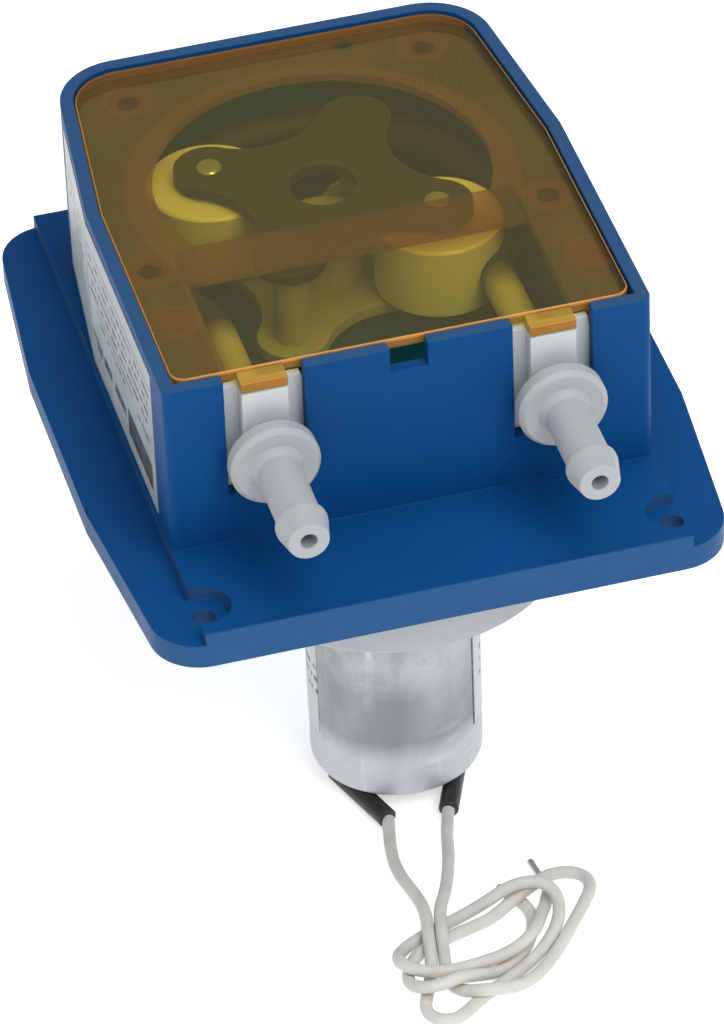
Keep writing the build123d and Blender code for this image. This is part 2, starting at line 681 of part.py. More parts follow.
# ---------------------------------------------------------------- wiring
SLEEVES = {
    "left": ((-13.4, -25.4), (-7.4, -42.6)),
    "right": ((12.0, -26.0), (4.6, -43.6)),
}
LEADS = {
    "left": ((-9.0, -49.0), (-9.9, -57.1), (-8.0, -66.6), (-7.5, -75.0)),
    "right": ((2.6, -49.0), (1.0, -56.5), (-2.2, -65.5), (-4.6, -73.3)),
}
TIPS = {
    "left": ((16.9, -71.1), (15.8, -62.2)),
    "right": ((8.9, -69.9), (7.8, -67.4)),
}
COIL_CENTRE = (2.5, -85.5)
COIL_TILT = 25.0
COIL_HEIGHT = 5.6


def wire_radii(points):
    """Largest tangent arc for each corner of a run of points."""
    radii = []
    for before, corner, after in zip(points, points[1:], points[2:]):
        run_in = Vector(*corner) - Vector(*before)
        run_out = Vector(*after) - Vector(*corner)
        shorter = min(run_in.length, run_out.length)
        half_turn = math.radians(run_in.get_angle(run_out) / 2)
        radii.append(0.45 * shorter / math.tan(half_turn))
    return radii


for side in ("left", "right"):
    begin, end = [(x, y, FLOOR + SLEEVE_RADIUS) for x, y in SLEEVES[side]]
    with BuildPart() as sleeve:
        with BuildSketch(Plane(begin, z_dir=Vector(*end) - Vector(*begin))):
            Circle(SLEEVE_RADIUS)
        extrude(amount=(Vector(*end) - Vector(*begin)).length)
        fillet(sleeve.edges().filter_by(GeomType.CIRCLE), 0.4)
    save(sleeve, f"sleeve_{side}")

    route = [end] + [(x, y, FLOOR + LEAD_RADIUS) for x, y in LEADS[side]]
    radii = wire_radii(route)
    print("lead", side, "radii", [round(radius, 1) for radius in radii])
    with BuildPart() as lead:
        with BuildLine() as line:
            FilletPolyline(*route, radius=radii)
        centre_line = line.wires()[0]
        with BuildSketch(Plane(centre_line @ 0, z_dir=centre_line % 0)):
            Circle(LEAD_RADIUS)
        sweep(path=centre_line)
    expected = math.pi * LEAD_RADIUS ** 2 * centre_line.length
    print("  volume", round(lead.part.volume, 1), "expected", round(expected, 1))
    save(lead, f"lead_{side}")

    begin, end = [(x, y, FLOOR + LEAD_RADIUS) for x, y in TIPS[side]]
    with BuildPart() as lead_tip:
        with BuildSketch(Plane(begin, z_dir=Vector(*end) - Vector(*begin))):
            Circle(TIP_RADIUS)
        extrude(amount=(Vector(*end) - Vector(*begin)).length)
    save(lead_tip, f"lead_tip_{side}")

with BuildPart() as leads_coil:
    with BuildSketch(Plane.XY.offset(FLOOR)):
        with Locations(Location(COIL_CENTRE, COIL_TILT)):
            Ellipse(21.2, 13.8)
            Ellipse(11.8, 7.4, mode=Mode.SUBTRACT)
    extrude(amount=COIL_HEIGHT)
    fillet(leads_coil.faces().sort_by(Axis.Z)[-1].edges(), 1.6)
save(leads_coil, "leads_coil")

# ---------------------------------------------------------------- labels
with BuildPart() as body_label:
    with BuildSketch(Plane.XY.offset(LAYER_TOP + 2.0)):
        add(box_profile(0.15))
        add(box_profile(), mode=Mode.SUBTRACT)
        with Locations((-BOX_WIDTH / 2, BOX_FRONT + 9.6)):
            Rectangle(12, 81.5, align=(Align.CENTER, Align.MIN), mode=Mode.INTERSECT)
    extrude(amount=BOX_TOP - LAYER_TOP - 4.6)
save(body_label, "body_label")

with BuildPart() as motor_label:
    with BuildSketch(Plane.XY.offset(CAN_BOTTOM + 10.0)):
        with Locations((0, MOTOR_Y)):
            Circle(CAN_RADIUS + 0.12)
            Circle(CAN_RADIUS, mode=Mode.SUBTRACT)
        # bare strip of the can towards the front
        with BuildSketch(mode=Mode.SUBTRACT):
            with BuildLine():
                Polyline(
                    (0, MOTOR_Y),
                    polar(60, -166, MOTOR_Y),
                    polar(60, -103.5, MOTOR_Y),
                    polar(60, -41, MOTOR_Y),
                    close=True,
                )
            make_face()
    extrude(amount=GEARBOX_BOTTOM - CAN_BOTTOM - 13.0)
save(motor_label, "motor_label")
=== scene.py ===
import math

import bpy
from mathutils import Matrix, Vector


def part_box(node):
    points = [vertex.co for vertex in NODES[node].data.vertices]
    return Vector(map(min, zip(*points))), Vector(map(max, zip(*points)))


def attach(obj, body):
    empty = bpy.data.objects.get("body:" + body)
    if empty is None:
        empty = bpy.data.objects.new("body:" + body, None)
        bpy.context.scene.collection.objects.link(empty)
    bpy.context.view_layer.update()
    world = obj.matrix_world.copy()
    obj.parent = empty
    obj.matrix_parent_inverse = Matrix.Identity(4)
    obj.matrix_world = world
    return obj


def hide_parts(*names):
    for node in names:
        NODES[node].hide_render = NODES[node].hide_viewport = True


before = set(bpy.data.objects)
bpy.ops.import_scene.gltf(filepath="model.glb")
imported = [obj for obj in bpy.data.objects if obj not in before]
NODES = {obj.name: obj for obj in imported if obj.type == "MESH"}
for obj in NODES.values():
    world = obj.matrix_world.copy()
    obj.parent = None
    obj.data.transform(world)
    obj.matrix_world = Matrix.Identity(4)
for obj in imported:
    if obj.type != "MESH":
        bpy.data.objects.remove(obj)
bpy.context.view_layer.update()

# Peristaltic pump in metres, in the part's own frame: the origin is in the panel plane at
# the middle of the mounting holes, +Z towards the lid, -Y towards the hose fittings.

MM = 0.001
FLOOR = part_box("motor_end_cap")[0].z


# ---------------------------------------------------------------- camera
CAMERA_PLACE = Vector((-264.2, -1049.3, 849.1)) * MM
CAMERA_AZIMUTH = -13.674
CAMERA_ELEVATION = 38.805
CAMERA_ROLL = -2.67
CAMERA_LENS = 247.96
CAMERA_SHIFT = (0.0467, -0.0226)
CAMERA_SENSOR = 36
CAMERA_REACH = 20


def make_camera():
    """Long-lens camera at the photograph's angle."""
    azimuth, elevation, roll = (
        math.radians(a) for a in (CAMERA_AZIMUTH, CAMERA_ELEVATION, CAMERA_ROLL))
    back = Vector((math.sin(azimuth) * math.cos(elevation),
                   -math.cos(azimuth) * math.cos(elevation),
                   math.sin(elevation)))
    level = Vector((0, 0, 1)).cross(back).normalized()
    upright = back.cross(level)
    right = math.cos(roll) * level + math.sin(roll) * upright
    up = math.cos(roll) * upright - math.sin(roll) * level
    data = bpy.data.cameras.new("camera")
    data.lens = CAMERA_LENS
    data.sensor_width = CAMERA_SENSOR
    data.shift_x, data.shift_y = CAMERA_SHIFT
    data.clip_end = CAMERA_REACH
    camera = bpy.data.objects.new("camera", data)
    camera.matrix_world = Matrix.Translation(CAMERA_PLACE) @ Matrix(
        (right, up, back)).transposed().to_4x4()
    bpy.context.scene.collection.objects.link(camera)
    bpy.context.scene.camera = camera


make_camera()

# ---------------------------------------------------------------- leads
LEAD_RADIUS = 1.25
LEAD_STEPS = 10
LEAD_SIDES = 7
# Routes as (x, y, height above the floor) in mm: out of the sleeve, down along the floor, and
# into a loose knotted ring, where one strand lies on another at the crossings.
ROUTE_LEFT = (
    (-7.4, -42.6, 2.0), (-9.0, -49.0, 1.25), (-9.9, -57.1, 1.25), (-8.0, -66.6, 1.6),
    (-8.5, -73.5, 3.6), (-9.8, -79.5, 4.0), (-10.6, -84.5, 2.4), (-12.0, -88.6, 1.25),
    (-13.9, -92.8, 1.25), (-15.5, -96.8, 1.25), (-14.1, -99.9, 1.25), (-11.0, -101.0, 1.25),
    (-8.4, -99.9, 1.25), (-4.4, -96.9, 1.25), (0.4, -94.1, 1.25), (5.0, -91.6, 1.25),
    (10.0, -88.0, 1.25), (13.9, -84.0, 1.7), (16.4, -80.4, 3.2), (17.0, -76.6, 4.8),
    (15.2, -73.9, 6.0), (12.0, -73.0, 6.4), (8.0, -73.3, 6.2), (4.0, -73.4, 3.9),
    (-1.0, -73.4, 1.4), (-6.0, -75.0, 1.25), (-11.0, -77.0, 1.25), (-15.0, -79.5, 1.6),
    (-17.2, -83.2, 3.2), (-16.6, -87.2, 4.4), (-13.2, -89.9, 4.4), (-8.0, -90.8, 4.2),
    (-2.4, -90.3, 4.2), (2.6, -89.2, 3.9), (7.2, -87.0, 3.9), (10.8, -83.5, 3.9),
    (12.8, -79.6, 3.4), (14.4, -76.4, 1.7), (15.8, -73.4, 1.25), (16.9, -71.1, 1.25),
)
ROUTE_RIGHT = (
    (4.6, -43.6, 2.0), (2.6, -49.0, 1.25), (1.0, -56.5, 1.25), (-2.2, -65.5, 1.7),
    (-5.5, -72.5, 3.9), (-7.0, -78.5, 3.9), (-7.9, -83.5, 2.6), (-8.6, -87.6, 1.25),
    (-8.6, -92.2, 1.3), (-6.8, -95.8, 2.8), (-3.0, -97.6, 3.9), (1.4, -97.2, 2.8),
    (5.2, -95.3, 1.25), (9.8, -92.2, 1.25), (14.2, -87.4, 1.25), (18.2, -82.2, 1.25),
    (21.9, -77.4, 1.25), (25.2, -72.6, 1.25), (24.7, -69.3, 1.25), (22.1, -67.6, 1.5),
    (19.0, -68.2, 2.4), (16.4, -69.9, 3.7), (13.4, -71.7, 3.9), (9.4, -73.8, 3.6),
    (4.0, -76.0, 1.4), (-1.0, -77.2, 1.25), (-6.0, -78.6, 1.25), (-10.5, -80.0, 1.25),
    (-13.8, -82.5, 1.25), (-16.0, -86.4, 1.3), (-16.6, -90.6, 2.6), (-14.6, -93.9, 4.2),
    (-11.2, -94.9, 5.2), (-7.6, -94.3, 5.6), (-4.0, -93.2, 4.0), (1.0, -91.0, 1.4),
    (6.4, -87.6, 1.25), (9.8, -83.0, 1.25), (11.6, -78.4, 1.25), (11.4, -74.6, 1.25),
    (10.2, -72.0, 1.25), (8.9, -69.9, 1.25),
)


def floor_point(x, y, height):
    """A point given in mm above the floor, in metres."""
    return (x * MM, y * MM, FLOOR + height * MM)


def make_strand(name, route):
    """Round wire along a NURBS line with the route's points as control points.

    The bevel is 1 m and each point's radius scales it down to the lead's own radius, because
    Blender grows a curve's bounds by its points' radius.
    """
    curve = bpy.data.curves.new(name, "CURVE")
    curve.dimensions = "3D"
    spline = curve.splines.new("NURBS")
    spline.points.add(len(route) - 1)
    for control, point in zip(spline.points, route):
        control.co = (*floor_point(*point), 1)
        control.radius = LEAD_RADIUS * MM
    spline.order_u = 3
    spline.use_endpoint_u = True
    curve.resolution_u = LEAD_STEPS
    curve.bevel_depth = 1.0
    curve.bevel_resolution = LEAD_SIDES
    curve.use_fill_caps = True
    strand = bpy.data.objects.new(name, curve)
    bpy.context.scene.collection.objects.link(strand)
    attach(strand, "casing")
    return strand


lead_left = make_strand("lead_left_wire", ROUTE_LEFT)
lead_right = make_strand("lead_right_wire", ROUTE_RIGHT)
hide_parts("lead_left", "leads_coil")
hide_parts("lead_right")


# ---------------------------------------------------------------- material helpers
EDGE_ROUND = 0.35
SHEET_ROUND = 0.3
METAL_ROUND = 0.2
CAN_ROUND = 0.25
BEVEL_SAMPLES = 4


class Shader:
    """Wires one node material around a Principled shader."""

    def __init__(self, name, **fixed):
        """Keywords are sockets with a constant value, with _ for each space in the name."""
        self.material = bpy.data.materials.new(name)
        self.material.use_nodes = True
        self.tree = self.material.node_tree
        self.bsdf = self.tree.nodes["Principled BSDF"]
        self.output = self.tree.nodes["Material Output"]
        for socket, value in fixed.items():
            self.bsdf.inputs[socket.replace("_", " ")].default_value = value
        self.place = self.add("ShaderNodeTexCoord").outputs["Object"]

    def add(self, kind, **settings):
        """A new node."""
        node = self.tree.nodes.new(kind)
        for key, value in settings.items():
            setattr(node, key, value)
        return node

    def join(self, source, socket):
        """Feeds a socket from another node's output or from a constant."""
        if hasattr(source, "is_output"):
            self.tree.links.new(source, socket)
        else:
            socket.default_value = source

    def math(self, operation, *values):
        """One arithmetic step."""
        node = self.add("ShaderNodeMath", operation=operation)
        for value, socket in zip(values, node.inputs):
            self.join(value, socket)
        return node.outputs[0]

    def stretched(self, node, stretch):
        """Feeds a texture node from the object's coordinates, stretched."""
        mapping = self.add("ShaderNodeMapping")
        mapping.inputs["Scale"].default_value = stretch
        self.join(self.place, mapping.inputs["Vector"])
        self.join(mapping.outputs[0], node.inputs["Vector"])
        return node

    def noise(self, scale, detail=3.0, rough=0.5, stretch=(1, 1, 1), distortion=0.0):
        """Cloud noise. Its values lie mostly between 0.3 and 0.7."""
        node = self.stretched(self.add("ShaderNodeTexNoise"), stretch)
        for key, value in (("Scale", scale), ("Detail", detail), ("Roughness", rough),
                           ("Distortion", distortion)):
            node.inputs[key].default_value = value
        return node.outputs["Fac"]

    def cells(self, scale, stretch):
        """A random grey for each cell of a Voronoi pattern."""
        node = self.stretched(self.add("ShaderNodeTexVoronoi"), stretch)
        node.inputs["Scale"].default_value = scale
        split = self.add("ShaderNodeSeparateColor")
        self.join(node.outputs["Color"], split.inputs[0])
        return split.outputs[0]

    def span(self, value, low, high, start, end):
        """Maps value from low..high to start..end, clamped."""
        node = self.add("ShaderNodeMapRange")
        for source, socket in zip((value, low, high, start, end), node.inputs):
            self.join(source, socket)
        return node.outputs[0]

    def spread(self, noise, start=0.0, end=1.0):
        """Maps the usual range of a noise to start..end."""
        return self.span(noise, 0.3, 0.7, start, end)

    def mix(self, share, first, second):
        """Blend of two colours."""
        node = self.add("ShaderNodeMix", data_type="RGBA")
        self.join(share, node.inputs["Factor"])
        for source, socket in ((first, node.inputs[6]), (second, node.inputs[7])):
            self.join(source if hasattr(source, "is_output") else (*source, 1), socket)
        return node.outputs[2]

    def split(self, vector):
        """A vector's x, y and z."""
        node = self.add("ShaderNodeSeparateXYZ")
        self.join(vector, node.inputs[0])
        return node.outputs

    def axes(self):
        """The object's own x, y and z at this spot."""
        return self.split(self.place)

    def facing(self):
        """The face's own direction, as x, y and z."""
        return self.split(self.add("ShaderNodeNewGeometry").outputs["True Normal"])

    def rounded(self, radius):
        """Normal that rounds off sharp edges, radius in mm."""
        bevel = self.add("ShaderNodeBevel", samples=BEVEL_SAMPLES)
        bevel.inputs["Radius"].default_value = radius * MM
        return bevel.outputs[0]

    def edges(self, radius):
        """1 along sharp edges, 0 on flat and smooth faces."""
        dot = self.add("ShaderNodeVectorMath", operation="DOT_PRODUCT")
        self.join(self.rounded(radius), dot.inputs[0])
        self.join(self.add("ShaderNodeNewGeometry").outputs["Normal"], dot.inputs[1])
        return self.span(dot.outputs["Value"], 0.995, 0.80, 0.0, 1.0)

    def near(self, places, radius, soft=0.8):
        """1 within a radius, in mm, of any of these upright lines, fading out at the rim."""
        x, y, _ = self.axes()
        flat = self.add("ShaderNodeCombineXYZ")
        self.join(x, flat.inputs[0])
        self.join(y, flat.inputs[1])
        found = 0.0
        for place in places:
            gap = self.add("ShaderNodeVectorMath", operation="DISTANCE")
            self.join(flat.outputs[0], gap.inputs[0])
            gap.inputs[1].default_value = (place[0] * MM, place[1] * MM, 0)
            spot = self.span(gap.outputs["Value"], (radius - soft) * MM, (radius + soft) * MM,
                             1.0, 0.0)
            found = self.math("MAXIMUM", found, spot)
        return found

    def box(self, across, along, centre, half):
        """1 inside a rectangle on two axes, centre and half size in mm."""
        return self.math("MULTIPLY", *(
            self.math("COMPARE", axis, middle * MM, reach * MM)
            for axis, middle, reach in zip((across, along), centre, half)))

    def bump(self, height, strength, distance, normal=None):
        """Normal with a small relief, distance in mm."""
        node = self.add("ShaderNodeBump")
        node.inputs["Strength"].default_value = strength
        node.inputs["Distance"].default_value = distance * MM
        self.join(height, node.inputs["Height"])
        if normal is not None:
            self.join(normal, node.inputs["Normal"])
        return node.outputs[0]

    def finish(self, colour, roughness, normal=None):
        """Feeds the Principled shader and hands back the material."""
        for source, name in ((colour, "Base Color"), (roughness, "Roughness"),
                             (normal, "Normal")):
            if source is not None:
                self.join(source, self.bsdf.inputs[name])
        return self.material


def shade(colour, factor):
    """A colour made lighter or darker."""
    return tuple(min(1.0, c * factor) for c in colour)


def flow_marks(s, colour, dark=0.93, pale=1.06, specks=0.35, speck=0.82):
    """A moulding's clouds, and its colour with faint flow marks and fine dark specks."""
    clouds = s.noise(22, detail=4)
    tone = s.mix(s.spread(clouds), shade(colour, dark), shade(colour, pale))
    fine = s.span(s.noise(900, detail=2), 0.62, 0.78, 0, specks)
    return clouds, s.mix(fine, tone, shade(colour, speck))


def scuffed(s, tone, pale, least=0.25, most=0.9):
    """A moulding's colour with patchy, paler wear along its edges."""
    patches = s.span(s.noise(160), 0.35, 0.7, least, most)
    return s.mix(s.math("MULTIPLY", s.edges(EDGE_ROUND), patches), tone, pale)


def finish_moulding(s, tone, clouds, roughness, grain):
    """A moulding's uneven sheen and fine grain."""
    rough = s.span(s.noise(60, detail=5), 0.25, 0.75, roughness - 0.07, roughness + 0.09)
    grains = s.math("ADD", s.noise(1600, detail=2), s.math("MULTIPLY", clouds, 0.6))
    return s.finish(tone, rough, s.bump(grains, grain, 0.12, s.rounded(EDGE_ROUND)))


def sheet_marks(s):
    """A clear sheet's scratches, and its scratches and dust together."""
    along = s.noise(45, detail=8, rough=0.75, stretch=(1, 14, 1), distortion=0.6)
    across = s.noise(60, detail=8, rough=0.8, stretch=(11, 1.5, 1), distortion=0.9)
    scratches = s.math("MAXIMUM", s.span(along, 0.69, 0.72, 0, 1),
                       s.span(across, 0.70, 0.73, 0, 1))
    dust = s.span(s.noise(700, detail=2), 0.70, 0.76, 0, 0.5)
    return scratches, s.math("MAXIMUM", scratches, dust)


def sheet_relief(s, scratches, wave):
    """A clear sheet's slow waves and shallow scratches, as a normal."""
    height = s.math("ADD", s.noise(wave), s.math("MULTIPLY", scratches, -0.05))
    return s.bump(height, 0.05, 0.4, s.rounded(SHEET_ROUND))


def see_through(s, tint, share, gloss_share):
    """Lets light of one tint through, with the body's own colour and a mirror sheen over it."""
    see = s.add("ShaderNodeBsdfTransparent")
    see.inputs["Color"].default_value = (*tint, 1)
    shine = s.add("ShaderNodeBsdfGlossy")
    shine.inputs["Roughness"].default_value = SHEEN_ROUGHNESS
    fresnel = s.add("ShaderNodeFresnel")
    fresnel.inputs["IOR"].default_value = SHEEN_IOR
    surface = see.outputs[0]
    for factor, layer in ((share, s.bsdf),
                          (s.math("MULTIPLY", fresnel.outputs[0], gloss_share), shine)):
        blend = s.add("ShaderNodeMixShader")
        for source, socket in zip((factor, surface, layer.outputs[0]), blend.inputs):
            s.join(source, socket)
        surface = blend.outputs[0]
    s.join(surface, s.output.inputs["Surface"])
    return s.material


def broken_rows(s, along, rise, rows):
    """Rows of uneven dashes that stand for lines of small print without any lettering."""
    mask = 0.0
    for index, (start, end, height, half, pitch) in enumerate(rows):
        band = s.box(along, rise, ((start + end) / 2, height), ((end - start) / 2, half))
        dashes = s.add("ShaderNodeTexNoise", noise_dimensions="1D")
        s.join(s.math("ADD", along, index * ROW_SHIFT), dashes.inputs["W"])
        dashes.inputs["Scale"].default_value = 1 / (pitch * MM)
        dashes.inputs["Detail"].default_value = 1.0
        solid = s.span(dashes.outputs["Fac"], 0.44, 0.50, 0.0, 1.0)
        mask = s.math("MAXIMUM", mask, s.math("MULTIPLY", band, solid))
    return mask


# ---------------------------------------------------------------- places in the materials, mm
LID_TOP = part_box("lid")[1].z / MM
LID_FRONT = -39.2
# Depth of the lid's painted highlight line below its top.
LID_HIGHLIGHT_DEPTH = 0.6
RIM_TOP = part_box("pump_body")[1].z / MM
RIM_DEPTH = 0.4
PLATE_TOP = 7.8
FITTING_SHOULDER = -43.5
# Where the tube starts to darken in the race, and the length of that fade.
RACE_MOUTH = -11.0
RACE_DARK_FADE = 8.0
# The cover's crossing strip, from which the D-shaped window is cut off.
STRIP_CENTRE = (0.0, -2.1)
STRIP_HALF = (34.0, 5.3)
# Cover rounds: its four screws and two moulded spots nearer the fittings.
COVER_SPOTS = ((-30.0, 53.2), (30.0, 53.2), (-39.5, -2.0), (39.5, -2.0), (-38.9, -18.6),
               (41.7, -22.0))
COVER_SPOT_RADIUS = 4.7
GREEN_SPOT = (15.4, 58.0)
GREEN_SPOT_RADIUS = 1.6
# The can's darker middle band, from bottom to top.
CAN_BAND = (-57.0, -40.0)
# Label marks as centre and half size, and rows as start, end, height, half height and dash
# pitch, all in the wall's own y and z.
BODY_MARKS = (
    ((-21.5, 16.5), (9.5, 3.2)), ((14.0, 18.0), (3.0, 0.3)), ((18.5, 25.5), (0.3, 11.5)),
    ((-7.5, 38.6), (25.0, 0.2)), ((-3.5, 26.4), (14.0, 0.2)),
)
BODY_ROWS = (
    (-32, 16, 36.4, 0.55, 2.2), (-32, 16, 33.8, 0.55, 2.0), (-32, 14, 31.2, 0.55, 2.4),
    (-30, 16, 28.6, 0.5, 2.1), (-30, -21, 24.5, 0.5, 1.6), (-11, 12, 17.0, 1.1, 2.8),
    (-11, 10, 24.4, 0.4, 1.8), (24, 44, 36.0, 0.55, 2.4), (24, 42, 32.5, 0.55, 2.0),
    (24, 40, 29.0, 0.55, 2.6),
)
MOTOR_MARKS = (((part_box("motor_label")[0].y / MM, -38.0), (0.4, 30.0)),)
MOTOR_ROWS = ((-31, -14, -42.0, 0.6, 1.6), (-31, -16, -45.0, 0.6, 2.0),
              (-31, -14, -48.0, 0.5, 1.6))
ROW_SHIFT = 0.37

# ---------------------------------------------------------------- colours
BLUE = (0.003, 0.058, 0.200)
# Painted highlight colours: the first on the plate's edge faces, also the base of the paler worn
# edges; the second on the box's rim top.
BLUE_EDGE_HIGHLIGHT_AND_WEAR = (0.022, 0.083, 0.207)
BLUE_RIM_HIGHLIGHT = (0.024, 0.076, 0.175)
FITTING_GREY = (0.36, 0.375, 0.385)
LID_TINT = (0.88, 0.81, 0.46)
LID_HAZE = (0.40, 0.45, 0.38)
LID_DUST = (0.80, 0.76, 0.60)
LID_SIDE = (0.30, 0.14, 0.03)
# Painted glow on the lid's front faces.
LID_GLOW = (0.36, 0.155, 0.03)
LID_TAB = (0.62, 0.36, 0.06)
# Painted highlight line round the lid's top.
LID_RIM_HIGHLIGHT = (0.72, 0.29, 0.06)
COVER_TINT = (0.82, 0.63, 0.42)
COVER_DARK = (0.41, 0.25, 0.10)
COVER_PALE = (0.49, 0.31, 0.14)
COVER_DUST = (0.60, 0.40, 0.20)
COVER_ROUND = (0.20, 0.055, 0.018)
SPOT_GREEN = (0.03, 0.22, 0.05)
TUBE_CLEAN = (0.55, 0.54, 0.40)
TUBE_DARK = (0.045, 0.048, 0.035)
BODY_PAPER = (0.325, 0.365, 0.36)
BODY_INK = (0.03, 0.03, 0.035)
MOTOR_PAPER = (0.50, 0.52, 0.54)
MOTOR_INK = (0.05, 0.05, 0.06)

ACRYLIC_IOR = 1.49
SHEEN_IOR = 1.42
SHEEN_ROUGHNESS = 0.06
LID_SHEEN = 0.12
COVER_SHEEN = 0.1


# ---------------------------------------------------------------- materials
def moulded(name, colour, roughness, worn=1.35, grain=0.06, specular=0.5):
    """Injection-moulded plastic: fine grain, faint flow marks and paler worn edges."""
    s = Shader(name, Specular_IOR_Level=specular)
    clouds, tone = flow_marks(s, colour)
    pale = tuple(c + (1 - c) * 0.12 * worn for c in shade(colour, worn))
    return finish_moulding(s, scuffed(s, tone, pale), clouds, roughness, grain)


def casing_plastic(name):
    """Blue moulded casing, with a patchy painted highlight on the plate's edge faces and on the
    box's rim top.
    """
    s = Shader(name, Specular_IOR_Level=0.06)
    clouds, tone = flow_marks(s, BLUE, dark=0.92, pale=1.07, speck=0.80)
    face = s.facing()
    height = s.axes()[2]
    upright = s.math("LESS_THAN", s.math("ABSOLUTE", face[2]), 0.5)
    # Upright faces below the plate's top, and upward faces at the rim's top: both get a painted
    # highlight.
    edge = s.math("MULTIPLY", upright, s.math("LESS_THAN", height, PLATE_TOP * MM))
    rim = s.math("MULTIPLY", s.math("GREATER_THAN", face[2], 0.5),
                 s.math("GREATER_THAN", height, (RIM_TOP - RIM_DEPTH) * MM))
    casing_highlight_patches = s.spread(s.noise(240, detail=4), 0.80, 1.0)
    # Painted highlights in patches: a paler blue standing in for the light these faces catch.
    tone = s.mix(s.math("MULTIPLY", edge, casing_highlight_patches), tone, BLUE_EDGE_HIGHLIGHT_AND_WEAR)
    tone = s.mix(s.math("MULTIPLY", rim, casing_highlight_patches), tone, BLUE_RIM_HIGHLIGHT)
    tone = scuffed(s, tone, shade(BLUE_EDGE_HIGHLIGHT_AND_WEAR, 1.3), least=0.2, most=0.8)
    return finish_moulding(s, tone, clouds, roughness=0.43, grain=0.06)


def fitting_plastic(name):
    """Grey moulded fitting with a paler block where it sits in the casing's wall."""
    s = Shader(name, Specular_IOR_Level=0.3)
    clouds, tone = flow_marks(s, FITTING_GREY, dark=0.94, pale=1.05, specks=0.3, speck=0.85)
    block = s.span(s.axes()[1], (FITTING_SHOULDER - 0.2) * MM, FITTING_SHOULDER * MM, 0.0, 1.0)
    tone = s.mix(block, tone, shade(FITTING_GREY, 1.5))
    tone = scuffed(s, tone, shade(FITTING_GREY, 1.3))
    return finish_moulding(s, tone, clouds, roughness=0.50, grain=0.08)


def lid_sheet(name):
    """Amber acrylic lid: clear faces, a painted orange highlight line round the top and a painted
    glow on the front edge.
    """
    s = Shader(name, IOR=ACRYLIC_IOR, Specular_IOR_Level=0.1)
    scratches, marks = sheet_marks(s)
    face = s.facing()
    tilt = s.math("ABSOLUTE", face[2])
    side = s.math("LESS_THAN", tilt, 0.6)
    # Front faces get a painted glow.
    front = s.math("MULTIPLY", side, s.math("LESS_THAN", face[1], -0.5))
    # Fillets and the top band of the side faces get a painted highlight line, in patches.
    line = s.math("MULTIPLY", s.math("LESS_THAN", tilt, 0.985),
                  s.math("GREATER_THAN", s.axes()[2], (LID_TOP - LID_HIGHLIGHT_DEPTH) * MM))
    tab = s.math("LESS_THAN", s.axes()[1], (LID_FRONT - 0.2) * MM)
    tab_top = s.math("MULTIPLY", tab, s.math("GREATER_THAN", face[2], 0.6))
    lid_highlight_patches = s.spread(s.noise(130, detail=4), 0.75, 1.0)
    tone = s.mix(s.math("MULTIPLY", marks, 0.45), LID_HAZE, LID_DUST)
    for mask, colour in ((side, LID_SIDE), (front, LID_GLOW), (tab_top, LID_TAB),
                         (s.math("MULTIPLY", line, lid_highlight_patches), LID_RIM_HIGHLIGHT)):
        tone = s.mix(mask, tone, colour)
    s.finish(tone, s.spread(s.noise(80, detail=6), 0.05, 0.16), sheet_relief(s, scratches, 9))
    share = s.math("ADD", 0.032, s.math("MULTIPLY", marks, 0.06))
    for mask, least in ((side, 0.10), (front, 0.75), (tab, 0.45), (line, 0.80)):
        share = s.math("MAXIMUM", share, s.math("MULTIPLY", mask, least))
    return see_through(s, LID_TINT, share, LID_SHEEN)


def cover_sheet(name):
    """Cloudy red-brown sheet over the tube race, darker in rounds where screws pull it down."""
    s = Shader(name, IOR=ACRYLIC_IOR, Specular_IOR_Level=0.2)
    scratches, marks = sheet_marks(s)
    clouds = s.spread(s.noise(40, detail=5))
    rounds = s.near(COVER_SPOTS, COVER_SPOT_RADIUS)
    tone = s.mix(clouds, COVER_DARK, COVER_PALE)
    for mask, colour in ((s.math("MULTIPLY", marks, 0.3), COVER_DUST),
                         (s.math("MULTIPLY", rounds, 0.85), COVER_ROUND),
                         (s.near((GREEN_SPOT,), GREEN_SPOT_RADIUS, 0.5), SPOT_GREEN)):
        tone = s.mix(mask, tone, colour)
    s.finish(tone, s.span(clouds, 0.0, 1.0, 0.2, 0.35), sheet_relief(s, scratches, 12))
    strip = s.box(*s.axes()[:2], STRIP_CENTRE, STRIP_HALF)
    share = s.math("ADD", s.span(clouds, 0.0, 1.0, 0.27, 0.33),
                   s.math("MULTIPLY", strip, -0.14))
    share = s.math("ADD", share, s.math("MULTIPLY", rounds, 0.45))
    return see_through(s, COVER_TINT, share, COVER_SHEEN)


